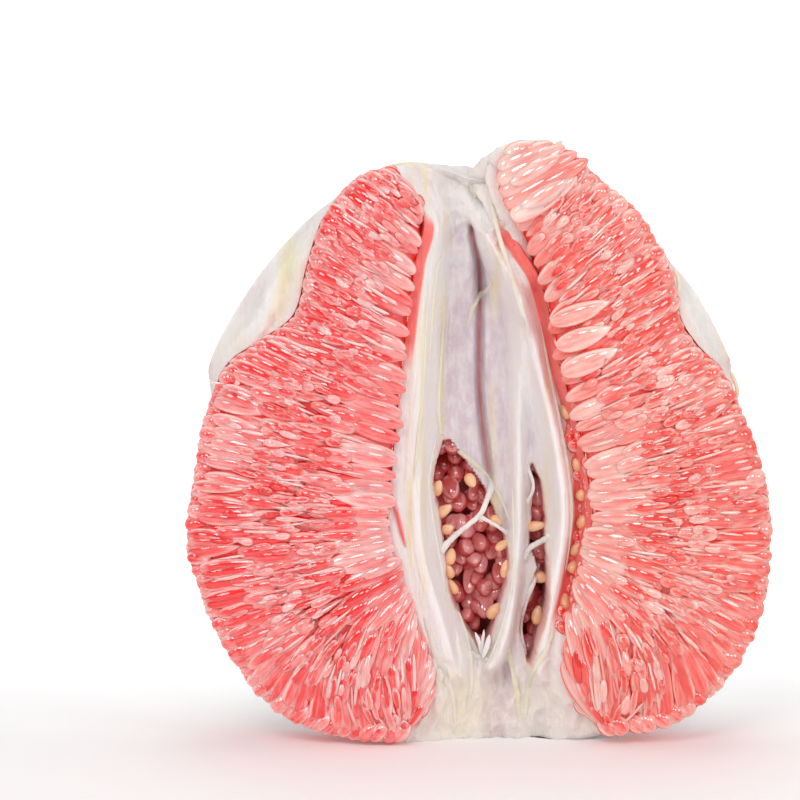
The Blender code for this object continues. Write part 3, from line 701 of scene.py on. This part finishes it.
def paint_flesh(name, colours):
    """Wet juice sacs: a saturated body with pale tails and pale flanks, the flanks partly the sacs' pale walls and
    partly painted sheen, fine streaks along each, and a faint painted glow.
    """
    paint = Paint(name)
    along, crest, ripe = paint.trait("along"), paint.trait("crest"), paint.trait("ripe")
    pick, turn = paint.trait("pick"), paint.trait("turn")
    streak_at = paint.node("CombineXYZ")
    paint.link(paint.maths("MULTIPLY", turn, 5.0), streak_at.inputs[0])
    paint.link(paint.maths("MULTIPLY", along, 1.6), streak_at.inputs[1])
    paint.link(paint.maths("MULTIPLY", pick, 60.0), streak_at.inputs[2])
    streaks = paint.noise(streak_at.outputs[0], 1.6, 3.0, 0.6)
    cloud = paint.noise(paint.place((1, 1, 1)), 260.0, 2.0)
    # The crest faces out of the face. Sacs are saturated there and pale towards their flanks: partly the sacs'
    # pale walls, partly painted sheen of the wet translucent sacs.
    body = paint.maths("MULTIPLY", paint.range(crest, 0.78, 0.97), paint.range(along, 0.08, 0.40))
    body = paint.maths("MULTIPLY", body, paint.range(along, 0.78, 1.0, 1.0, 0.5))
    body = paint.maths("MULTIPLY", body, ripe)
    body = paint.maths("ADD", body, paint.maths("MULTIPLY", paint.maths("SUBTRACT", streaks, 0.5), 1.2))
    body = paint.maths("ADD", body, paint.maths("MULTIPLY", paint.maths("SUBTRACT", cloud, 0.5), 0.3),
                       clamped=True)
    colour = paint.blend(body, colours.pale, colours.body)
    # Deep colour in dark streaks and on the ripest sacs is the flesh's own deeper red. On the bed and high in the
    # wide pocket, where ripe passes 1.1, it is painted shade.
    deep = paint.maths("MULTIPLY", paint.range(streaks, 0.5, 0.72), paint.range(ripe, 0.6, 1.0, 0.0, 0.6))
    deep = paint.maths("MAXIMUM", deep, paint.range(ripe, 1.1, 1.6))
    colour = paint.blend(deep, colour, colours.deep)
    tint = paint.range(paint.maths("FRACT", paint.maths("MULTIPLY", pick, 7.0)), 0.5, 1.0, 0.0, 0.5)
    colour = paint.blend(tint, colour, colours.body)
    # The undersides that face the gaps between sacs go back to the saturated body colour: painted light through
    # the flesh, so the shaded gaps read red.
    colour = paint.blend(paint.range(crest, 0.56, 0.74, 0.9, 0.0), colour, colours.body)
    lines = paint.bump(streaks, 0.35, 0.0006)
    normal = paint.bump(cloud, 0.25, 0.0004, lines)
    edge = paint.node("LayerWeight")
    paint.link(paint.range(edge.outputs["Facing"], 0.15, 0.55, 1.0, 0.0), paint.shader.inputs["Coat Weight"])
    # A faint red glow is painted onto every sac: painted light that keeps the shaded gaps between the sacs bright
    # red.
    return paint.finish(colour, normal, Roughness=0.35, Subsurface_Weight=0.35, Subsurface_Scale=0.002,
                        Subsurface_Radius=(1.0, 0.5, 0.42), Coat_Roughness=0.06, Coat_IOR=1.9,
                        Specular_IOR_Level=0.0, Emission_Color=(0.80, 0.05, 0.04, 1.0), Emission_Strength=0.07)


def paint_skin(name, colours):
    """White inner skin: matt and fibrous, with yellow streaks, lilac painted shade in its hollows, pink edges, and
    dark red painted shade in the torn pockets.
    """
    paint = Paint(name)
    fibres = paint.noise(paint.place((1400, 1400, 70)), 1.0, 4.0, 0.6)
    mottle = paint.noise(paint.place((1, 1, 1)), 170.0, 4.0, 0.6)
    cotton = paint.noise(paint.place((1, 1, 1)), 900.0, 3.0, 0.6)
    colour = paint.blend(paint.range(mottle, 0.35, 0.7, 0.0, 0.6), colours.white, colours.cream)
    clouds = paint.noise(paint.place((1, 1, 0.5)), 420.0, 5.0, 0.7)
    shaded = paint.maths("MULTIPLY", paint.trait("lilac_shade"), paint.range(clouds, 0.3, 0.7, 0.35, 1.15))
    colour = paint.blend(shaded, colour, colours.lilac_shade)
    colour = paint.blend(paint.maths("MULTIPLY", paint.trait("yellow"), 0.75), colour, colours.yellow)
    colour = paint.blend(paint.range(paint.trait("blush"), 0.0, 1.0, 0.0, 0.95), colour, colours.blush)
    # Inside the torn pockets the skin takes the deep colour: the red of the flesh, darkened as painted shade deep
    # in the pockets.
    colour = paint.blend(paint.trait("inside"), colour, colours.deep)
    shade = paint.range(fibres, 0.3, 0.7, 0.0, 0.12)
    colour = paint.blend(shade, colour, colours.lilac_shade)
    lines = paint.bump(fibres, 0.55, 0.0006)
    lumps = paint.bump(clouds, 0.5, 0.0009, lines)
    normal = paint.bump(cotton, 0.4, 0.0004, lumps)
    return paint.finish(colour, normal, Roughness=0.62, Subsurface_Weight=0.3, Subsurface_Scale=0.002,
                        Subsurface_Radius=(1.0, 0.85, 0.75), Specular_IOR_Level=0.35, Sheen_Weight=0.15)


def paint_seed(name, colours):
    """Small cream-orange seeds, paler at the pointed end, with a wet skin."""
    paint = Paint(name)
    grain = paint.noise(paint.place((1, 1, 1)), 600.0, 4.0, 0.6)
    colour = paint.blend(paint.trait("along"), colours.seed_pale, colours.seed)
    colour = paint.blend(paint.range(grain, 0.4, 0.75, 0.0, 0.4), colour, colours.seed_dark)
    normal = paint.bump(grain, 0.4, 0.0004)
    return paint.finish(colour, normal, Roughness=0.35, Subsurface_Weight=0.25, Subsurface_Scale=0.001,
                        Subsurface_Radius=(1.0, 0.6, 0.3), Coat_Weight=0.3, Coat_Roughness=0.15)


def colour_choice(name, description, default):
    return FloatVectorProperty(name=name, description=description, subtype="COLOR", size=3, min=0.0, max=1.0,
                               default=default)


class PomeloFlesh(bpy.types.PropertyGroup):
    body: colour_choice("Body", "Saturated flesh in the middle of a sac", (0.90, 0.016, 0.018))
    # Pale is partly the sacs' own pale walls and tails, and partly painted sheen on their flanks.
    pale: colour_choice("Pale", "Walls and tails of the sacs", (0.95, 0.70, 0.66))
    # Deep is partly the sacs' own deeper red streaks, and partly painted shade on the bed in the gaps between the
    # sacs.
    deep: colour_choice("Deep", "Flesh in the gaps", (0.72, 0.015, 0.012))
    rows: IntProperty(name="Rows", description="Juice sacs along the core's edge", default=44, min=10)
    sac_length: FloatProperty(name="Sac Length", description="Usual length of a juice sac", unit="LENGTH",
                              default=0.015)
    sac_width: FloatProperty(name="Sac Width", description="Usual width of a juice sac", unit="LENGTH",
                             default=0.0038)
    seed: IntProperty(name="Draw", description="Start of the random draws", default=11)


class PomeloSkin(bpy.types.PropertyGroup):
    white: colour_choice("White", "Skin in the light", (0.88, 0.86, 0.86))
    cream: colour_choice("Cream", "Patches of the skin", (0.86, 0.82, 0.73))
    # The lilac colour is painted shade in the hollows and crumples of the skin.
    lilac_shade: colour_choice("Lilac", "Skin in the hollows", (0.68, 0.57, 0.63))
    yellow: colour_choice("Yellow", "Fibres along the bands", (0.82, 0.72, 0.38))
    blush: colour_choice("Blush", "Skin next to the flesh", (0.94, 0.12, 0.09))
    # Deep is the flesh's red in the torn pockets, darkened as painted shade.
    deep: colour_choice("Deep", "Walls of the torn pockets", (0.40, 0.09, 0.08))
    seed: colour_choice("Seed", "Round end of a seed", (0.86, 0.44, 0.22))
    seed_pale: colour_choice("Seed Point", "Pointed end of a seed", (0.88, 0.60, 0.38))
    seed_dark: colour_choice("Seed Grain", "Grain of a seed", (0.70, 0.34, 0.14))


class PomeloStage(bpy.types.PropertyGroup):
    elevation: FloatProperty(name="Elevation", description="Camera above the horizon", subtype="ANGLE",
                             default=math.radians(5.0))
    lens: FloatProperty(name="Lens", description="Focal length in millimetres", default=120.0)
    frame_width: FloatProperty(name="Frame Width", description="What the picture spans at the fruit",
                               unit="LENGTH", default=0.1868)
    aim_x: FloatProperty(name="Aim X", description="Middle of the picture", unit="LENGTH", default=-0.01854)
    aim_z: FloatProperty(name="Aim Z", description="Middle of the picture", unit="LENGTH", default=0.0820)
    floor: colour_choice("Floor", "Plain pale floor", (0.90, 0.90, 0.90))


def choices(name):
    return getattr(bpy.context.scene, name)


class POMELO_OT_skin(bpy.types.Operator):
    """Model the white inner skin: the back of the segments, the hollow core and its folds"""
    bl_idname = "pomelo.skin"
    bl_label = "White Skin"

    def execute(self, context):
        shape = Shape("yellow", "lilac_shade", "blush", "inside")
        shape.grid(SKIN_BACK_COLUMNS + SKIN_FRONT_COLUMNS, SKIN_ROWS, skin_point)
        add_sheet(shape, LEFT)
        add_sheet(shape, RIGHT)
        shape.keep("skin", paint_skin("white_skin", choices("pomelo_skin")), "white_skin", "membrane",
                   sharp=55.0)
        return {"FINISHED"}


OUT = Vector((0.0, -1.0, 0.0))
BED_DEPTH = 2.6


def on_face(face, u, v, raise_by=0.0):
    """A point on the flesh's front, raised towards the viewer by so much."""
    flat = face.point(u, v)
    return Vector((flat.x, crown_y(u, v) - raise_by, flat.y))


def close_back(shape, made, behind):
    """Walls from a grid's border to a flat back, that far behind the wedge between the faces."""
    border = dict.fromkeys(edge for vert in made for edge in vert.link_edges if edge.is_boundary)
    sides = bmesh.ops.extrude_edge_only(shape.mesh, edges=list(border))["geom"]
    for item in sides:
        if isinstance(item, bmesh.types.BMVert):
            item.co.y = wedge_back(item.co.x) + behind
    rear = [item for item in sides if isinstance(item, bmesh.types.BMEdge) and item.is_boundary]
    bmesh.ops.holes_fill(shape.mesh, edges=rear, sides=0)


def add_sheet(shape, face):
    """The thin white skin behind a face of flesh, where the fruit's back doesn't reach."""

    def place(u, v):
        flat = face.point(mix(0.03, 0.975, u), mix(0.01, 0.993, v))
        return Vector((flat.x, wedge_back(flat.x) - 0.15, flat.y)), (0.1, 0.3, 0.15, 0.0)

    close_back(shape, shape.grid(24, 60, place), 0.45)


def add_bed(shape, face):
    """The deep flesh that the sacs stand on, closed at its back, painted in the deep colour as painted shade in
    the gaps between the sacs.
    """

    def place(u, v):
        point = on_face(face, mix(0.02, 0.955, u), mix(0.012, 0.985, v), -BED_DEPTH)
        return point, (0.5, 1.0, 0.3, 1.8, u * 9)

    close_back(shape, shape.grid(60, 150, place), -0.2)


def tilt(v):
    """How much the sacs near the lower end turn down towards it."""
    return -0.16 * (1 - smooth_step(v / 0.34))


def add_face_sac(shape, face, draw, u, v, reach, radius, ripe, taper, rise=0.0, dive=1.2, detail=(11, 11)):
    """A sac whose bulb lies at (u, v) and whose tail reaches along the rows: outwards if reach is above 0."""
    ripe *= 1 + 0.5 * ripple(u * 2.5, v * 6, face.side * 3.0)
    width = (face.point(1, v) - face.point(0, v)).length
    du = reach / max(width, 8.0)
    dv = tilt(v) * du * 1.6 + draw.uniform(-0.006, 0.006)
    bulb = on_face(face, u, v, rise - radius * 0.75)
    tail = on_face(face, clamp(u + du, 0.03, 0.95), clamp(v + dv), rise - radius * 0.4 - dive)
    add_sac(shape, tail, bulb, OUT, radius, ripe, draw.random(), taper=taper, bow=draw.uniform(0.2, 0.7),
            detail=detail)


def add_flesh(face, sizes):
    """All the juice sacs of one face, from the core's edge to the rim."""
    draw = random.Random(sizes.seed)
    shape = Shape(*SAC_TRAITS)
    add_bed(shape, face)
    length, half = sizes.sac_length / MM, sizes.sac_width / MM / 2
    rows = sizes.rows
    rim_rows = round(rows * face.outer.length / face.inner.length)

    def along(count, n, jitter=0.35):
        return clamp((n + 0.5 + draw.uniform(-jitter, jitter)) / count, 0.01, 0.99)

    for u, count, reach in ((0.90, rim_rows, -1.3), (0.07, rows, 1.3)):
        for n in range(count):
            add_face_sac(shape, face, draw, u, along(count, n, 0.1), length * reach, half * 1.15, 1.1, 0.8,
                         -1.4, 0.8, (9, 9))
    for n in range(rows * 2):
        add_face_sac(shape, face, draw, draw.uniform(0.34, 0.66), along(rows * 2, n), draw.choice((-1, 1)) * 9,
                     half * draw.uniform(0.7, 0.95), draw.uniform(0.8, 1.0), 0.8, -0.9, 0.8, (9, 9))
    for n in range(rim_rows):
        add_face_sac(shape, face, draw, draw.uniform(0.68, 0.86), along(rim_rows, n), -length * 0.8,
                     half * draw.uniform(0.8, 1.0), draw.uniform(0.8, 1.0), 1.0, -0.2)
    for n in range(rows):
        add_face_sac(shape, face, draw, draw.uniform(0.14, 0.3), along(rows, n), length * 0.8,
                     half * draw.uniform(0.85, 1.05), draw.uniform(0.75, 1.0), 1.0, -0.2)
    for n in range(rim_rows):
        add_face_sac(shape, face, draw, draw.uniform(0.93, 0.985), along(rim_rows, n),
                     -length * draw.uniform(0.8, 1.1), half * draw.uniform(0.85, 1.05),
                     draw.uniform(0.75, 1.0), 0.9, 0.1)
    for n in range(rows):
        add_face_sac(shape, face, draw, draw.uniform(-0.035, 0.012), along(rows, n),
                     length * draw.uniform(0.9, 1.25), half * draw.uniform(0.95, 1.25),
                     draw.uniform(0.42, 0.82), 0.8, 0.1)
    for n in range(rows * 6):
        add_face_sac(shape, face, draw, draw.gauss(0.52, 0.12), along(rows * 6, n),
                     draw.choice((-1, 1)) * draw.uniform(4, 9), half * draw.uniform(0.35, 0.62),
                     draw.choice((0.45, 0.75, 1.0, 1.25)), 1.2, draw.uniform(0.1, 0.6),
                     draw.uniform(1.0, 3.0), (8, 8))
    for n in range(rows * 3):
        add_face_sac(shape, face, draw, draw.gauss(0.55, 0.14), along(rows * 3, n),
                     draw.choice((-1, 1)) * draw.uniform(6, 12), draw.uniform(0.25, 0.5), draw.uniform(0.0, 0.3),
                     0.8, -0.1, 0.8, (6, 9))
    add_rim(shape, face, draw, half, rim_rows)
    return shape


def add_rim(shape, face, draw, half, rim_rows):
    """Round ends of sacs all over the side that faces outwards, and at the edge of the core."""
    for edge_u, count, layers in ((1.0, rim_rows, 7), (0.0, 40, 2)):
        for layer in range(layers):
            for n in range(count):
                v = clamp((n + 0.5 * (layer % 2) + draw.uniform(-0.2, 0.2)) / count, 0.004, 0.996)
                flat, inward = face.point(edge_u, v), face.point(0.5, v)
                out = (flat - inward).normalized()
                out = Vector((out.x, 0, out.y))
                deepest = wedge_back(flat.x) - 1.5
                y = mix(-FACE_EDGE - 1.5, deepest, layer / max(layers - 1, 1)) if edge_u else -1.5 + 2.5 * layer
                bulb = Vector((flat.x, y + draw.uniform(-0.5, 0.5), flat.y)) - out * draw.uniform(0.0, 0.7)
                lean = Vector((0, draw.uniform(-1.5, 1.5), 0))
                add_sac(shape, bulb - out * 6 + lean, bulb, OUT, half * draw.uniform(0.95, 1.3),
                        draw.uniform(0.6, 0.95), draw.random(), taper=0.6, flat=1.0, detail=(8, 7))


class POMELO_OT_flesh_left(bpy.types.Operator):
    """Lay the juice sacs of the left face, row by row from the core to the rim"""
    bl_idname = "pomelo.flesh_left"
    bl_label = "Left Flesh"

    def execute(self, context):
        sizes = choices("pomelo_left")
        shape = add_flesh(LEFT, sizes)
        tail, bulb = (on_skin(Vector(point), 0.5) for point in SLIVER)
        add_sac(shape, tail, bulb, OUT, 0.5, 0.9, 0.4, taper=0.4)
        shape.keep("sacs_left", paint_flesh("left_flesh", sizes), "left_flesh", "flesh_left")
        return {"FINISHED"}


class POMELO_OT_flesh_right(bpy.types.Operator):
    """Lay the juice sacs of the right face, row by row from the core to the rim"""
    bl_idname = "pomelo.flesh_right"
    bl_label = "Right Flesh"

    def execute(self, context):
        sizes = choices("pomelo_right")
        shape = add_flesh(RIGHT, sizes)
        for number, (tail, bulb, radius) in enumerate(LARGE_SACS):
            add_sac(shape, Vector(tail), Vector(bulb), OUT, radius, 0.42 + 0.05 * (number % 3), 0.13 * number,
                    taper=0.3 if number < BLUNT_SACS else 0.8, bow=0.8, detail=(14, 16))
        draw = random.Random(71)
        for n in range(SEAM_BULBS):
            z = mix(*SEAM_HEIGHTS, n / SEAM_BULBS)
            x = RIGHT.core_side.x_at_height(z) - draw.uniform(0.2, 3.4)
            bulb = on_skin(Vector((x, z)), draw.uniform(0.0, 0.8))
            tail = bulb + Vector((draw.uniform(1.5, 4.0), 1.5, draw.uniform(-1.0, 2.0)))
            add_sac(shape, tail, bulb, OUT, draw.uniform(1.2, 2.0), draw.uniform(1.0, 1.3), draw.random(),
                    taper=0.6, flat=0.8, detail=(10, 9))
        shape.keep("sacs_right", paint_flesh("right_flesh", sizes), "right_flesh", "flesh_right")
        return {"FINISHED"}


class POMELO_OT_pockets(bpy.types.Operator):
    """Fill the two torn pockets with the round ends of sacs, painted darker as painted shade deep in the pockets
    """
    bl_idname = "pomelo.pockets"
    bl_label = "Pocket Flesh"

    def execute(self, context):
        material = paint_flesh("deep_flesh", choices("pomelo_deep"))
        names = (("sacs_wide_pocket", "flesh_wide_pocket"), ("sacs_narrow_pocket", "flesh_narrow_pocket"))
        for number, (edges, (name, node)) in enumerate(zip(POCKETS, names)):
            draw = random.Random(31 + number)
            shape = Shape(*SAC_TRAITS)
            rows = round(edges[0].length / POCKET_ROW_SPACING)
            for n in range(rows):
                v = (n + 0.5) / rows
                left, right = edges[0].at(v), edges[1].at(v)
                columns = max(1, round((right - left).length / POCKET_COLUMN_SPACING))
                for column in range(columns):
                    flat = left.lerp(right, (column + 0.5 + draw.uniform(-0.3, 0.3)) / columns)
                    bulb = Vector((flat.x, 15.5 + draw.uniform(-2.0, 2.5), flat.y + draw.uniform(-1.0, 1.0)))
                    lean = Vector((draw.uniform(-2.5, 2.5), 5.5, draw.uniform(-1, 7)))
                    # Painted shade: the sacs high in the wide pocket are made riper, which paints them in the dark
                    # deep colour.
                    dark = 0.75 * smooth_step((flat.y - 50) / 10) * (1 - number)
                    add_sac(shape, bulb + lean, bulb, OUT, draw.uniform(1.5, 2.5), draw.uniform(0.1, 1.0) + dark,
                            draw.random(), taper=0.55, flat=0.95, detail=(14, 12))
            shape.keep(name, material, "deep_flesh", node)
        return {"FINISHED"}


class POMELO_OT_seeds(bpy.types.Operator):
    """Set the small seeds along the torn pockets and beside the right face"""
    bl_idname = "pomelo.seeds"
    bl_label = "Seeds"

    def execute(self, context):
        shape = Shape("along")
        spots = [(x, POCKET_SEED_DEPTH, z, turn) for x, z, turn in POCKET_SEEDS]
        spots += [(RIGHT.inner.x_at_height(z) - EDGE_SEED_INSET, EDGE_SEED_DEPTH, z, turn)
                  for z, turn in EDGE_SEEDS]
        draw = random.Random(5)
        for x, depth, z, turn in spots:
            length, width = draw.uniform(3.2, 4.8), draw.uniform(2.1, 3.1)
            turned = Matrix.Rotation(math.radians(turn), 3, "Y") @ Matrix.Rotation(draw.uniform(-0.4, 0.4), 3, "X")

            def place(t, angle, length=length, width=width, turned=turned, x=x, z=z, depth=depth):
                wide = width / 2 * math.sqrt(max(t * (1 - t), 0.0)) * 2 * (0.72 + 0.4 * (1 - t))
                ridge = 1 + 0.05 * math.cos(4 * angle) + 0.25 * ripple(math.cos(angle), math.sin(angle) + t, z)
                local = Vector((math.cos(angle) * wide * ridge, math.sin(angle) * wide * 0.75, (t - 0.5) * length))
                return turned @ local + Vector((x, depth, z)), (1 - t,)

            shape.ball(14, 12, place)
        shape.keep("seeds", paint_seed("seed", choices("pomelo_skin")), "white_skin")
        return {"FINISHED"}


class POMELO_OT_threads(bpy.types.Operator):
    """Stretch the torn threads of skin across the pockets and the core"""
    bl_idname = "pomelo.threads"
    bl_label = "Threads"

    def execute(self, context):
        shape = Shape("yellow", "lilac_shade", "blush", "inside")
        ribbons = tuple((points, width, RIBBON_FLARE, RIBBON_YELLOW) for points, width, flat in RIBBONS)
        flatness = {len(THREADS) + n: flat for n, (points, width, flat) in enumerate(RIBBONS)}
        for number, (points, radius, flare, yellow) in enumerate(THREADS + ribbons):
            if len(points[0]) == 2:
                line, flat = Curve(points), 0.35
                line = Curve([on_skin(line.at(step / 30), radius * 0.1) for step in range(31)])
            else:
                flat = flatness.get(number, 0.6)
                line = Curve([on_skin(Vector((x, z)), -THREAD_ROOT_DEPTH) if y is None else Vector((x, y, z))
                              for x, y, z in points])

            def place(t, angle, line=line, flat=flat, radius=radius, flare=flare, number=number, yellow=yellow):
                along = (line.at(t + 0.02) - line.at(t - 0.02)).normalized()
                side = along.cross(OUT).normalized()
                lift = side.cross(along)
                thick = radius * (1 + flare * abs(2 * t - 1) ** 3.5) * clamp((1 - abs(2 * t - 1)) * 20) ** 0.5
                thick *= 1 + 0.2 * ripple(t * 9, number, math.cos(angle)) + 0.12 * ripple(t * 31, number, angle)
                out = side * math.cos(angle) + lift * math.sin(angle) * flat
                return line.at(t) + out * thick, (yellow, 0.0, 0.05, 0.0)

            shape.ball(12, 40, place)
        shape.keep("threads", paint_skin("thread_skin", choices("pomelo_skin")), "white_skin")
        return {"FINISHED"}


class POMELO_OT_stage(bpy.types.Operator):
    """Set up the pale floor, the soft lights and the camera"""
    bl_idname = "pomelo.stage"
    bl_label = "Stage"

    def add_backdrop(self, context):
        """A white wall that glows softly, far behind the fruit."""
        mesh = bmesh.new()
        bmesh.ops.create_grid(mesh, x_segments=1, y_segments=1, size=0.85)
        stood = Matrix.Translation((0.0, 1.7, 0.75)) @ Matrix.Rotation(math.radians(90.0), 4, "X")
        bmesh.ops.transform(mesh, matrix=stood, verts=mesh.verts)
        data = bpy.data.meshes.new("backdrop")
        mesh.to_mesh(data)
        mesh.free()
        wall = bpy.data.objects.new("backdrop", data)
        context.scene.collection.objects.link(wall)
        glow = Paint("backdrop_glow")
        set_input(glow.shader, "Base Color", (0.2, 0.2, 0.2, 1.0))
        set_input(glow.shader, "Emission Color", (1.0, 1.0, 1.0, 1.0))
        set_input(glow.shader, "Emission Strength", 1.0)
        data.materials.append(glow.material)

    def execute(self, context):
        stage = choices("pomelo_stage")
        mesh = bmesh.new()
        bmesh.ops.create_grid(mesh, x_segments=1, y_segments=1, size=3.0)
        data = bpy.data.meshes.new("floor")
        mesh.to_mesh(data)
        mesh.free()
        floor = bpy.data.objects.new("floor", data)
        floor.location.z = -0.00005
        context.scene.collection.objects.link(floor)
        pale = Paint("floor_pale")
        grain = pale.noise(pale.place((1, 1, 1)), 30.0)
        shade = pale.blend(pale.range(grain, 0.3, 0.7, 0.0, 0.03), tuple(stage.floor), (0.8, 0.8, 0.8))
        data.materials.append(pale.finish(shade, pale.bump(grain, 0.02, 0.0005), Roughness=0.8))
        depth = pale.node("SeparateXYZ")
        pale.link(pale.node("TexCoord").outputs["Object"], depth.inputs[0])
        set_input(pale.shader, "Emission Color", (1.0, 1.0, 1.0, 1.0))
        pale.link(pale.range(depth.outputs[1], -0.04, 0.25, 0.08, 0.9), pale.shader.inputs["Emission Strength"])
        self.add_backdrop(context)
        lights = (
            ("key", (-0.26, -0.90, 0.66), 0.40, 3.0),
            ("glint", (0.24, -1.0, 0.52), 0.28, 1.5),
            ("right_side", (0.80, -0.72, 0.44), 0.44, 2.5),
            ("left_side", (-0.86, -0.72, 0.44), 0.38, 1.8),
            ("top", (0.05, 0.15, 1.0), 0.7, 2.6),
        )
        aim = Vector((0.0, 0.0, 0.07))
        for name, place, size, power in lights:
            light = bpy.data.lights.new(name, "AREA")
            light.shape = "DISK"
            light.size = size
            light.energy = power
            lamp = bpy.data.objects.new(name, light)
            lamp.location = place
            lamp.rotation_euler = (aim - Vector(place)).to_track_quat("-Z", "Y").to_euler()
            context.scene.collection.objects.link(lamp)
        world = bpy.data.worlds.new("studio")
        world.use_nodes = True
        world.node_tree.nodes["Background"].inputs["Color"].default_value = (1.0, 1.0, 1.0, 1.0)
        world.node_tree.nodes["Background"].inputs["Strength"].default_value = 0.34
        context.scene.world = world
        context.scene.view_settings.view_transform = "Standard"
        lens = bpy.data.cameras.new("camera")
        lens.lens = stage.lens
        camera = bpy.data.objects.new("camera", lens)
        distance = stage.frame_width * stage.lens / lens.sensor_width
        target = Vector((stage.aim_x, -0.033, stage.aim_z))
        back = Vector((0.0, -math.cos(stage.elevation), math.sin(stage.elevation)))
        camera.location = target + back * distance
        camera.rotation_euler = (-back).to_track_quat("-Z", "Y").to_euler()
        context.scene.collection.objects.link(camera)
        context.scene.camera = camera
        return {"FINISHED"}


OPERATORS = (POMELO_OT_skin, POMELO_OT_flesh_left, POMELO_OT_flesh_right, POMELO_OT_pockets,
             POMELO_OT_seeds, POMELO_OT_threads, POMELO_OT_stage)


class POMELO_PT_panel(bpy.types.Panel):
    """The pieces of the pomelo half, in the order in which they are made"""
    bl_label = "Peeled Pomelo Half"
    bl_idname = "POMELO_PT_panel"
    bl_space_type = "VIEW_3D"
    bl_region_type = "UI"
    bl_category = "Pomelo"

    def draw(self, context):
        for operator in OPERATORS:
            self.layout.operator(operator.bl_idname)


GROUPS = {"pomelo_left": PomeloFlesh, "pomelo_right": PomeloFlesh, "pomelo_deep": PomeloFlesh,
          "pomelo_skin": PomeloSkin, "pomelo_stage": PomeloStage}
CLASSES = (PomeloFlesh, PomeloSkin, PomeloStage, *OPERATORS, POMELO_PT_panel)


def register():
    for each in CLASSES:
        bpy.utils.register_class(each)
    for name, group in GROUPS.items():
        setattr(bpy.types.Scene, name, PointerProperty(type=group))


def unregister():
    for name in GROUPS:
        delattr(bpy.types.Scene, name)
    for each in reversed(CLASSES):
        bpy.utils.unregister_class(each)


def choose_colours():
    """The right face is paler than the left one, and the pockets' sacs are painted darker, as painted shade deep
    in the pockets.
    """
    right, deep = choices("pomelo_right"), choices("pomelo_deep")
    right.body, right.pale, right.deep = (0.90, 0.060, 0.040), (0.94, 0.71, 0.63), (0.76, 0.02, 0.01)
    right.seed, right.rows, right.sac_length, right.sac_width = 23, 38, 0.0165, 0.0044
    deep.body, deep.pale, deep.deep = (0.52, 0.09, 0.09), (0.74, 0.36, 0.36), (0.16, 0.008, 0.006)


def main():
    register()
    choose_colours()
    for piece in ("skin", "flesh_left", "flesh_right", "pockets", "seeds", "threads", "stage"):
        getattr(bpy.ops.pomelo, piece)()


if __name__ == "__main__":
    main()
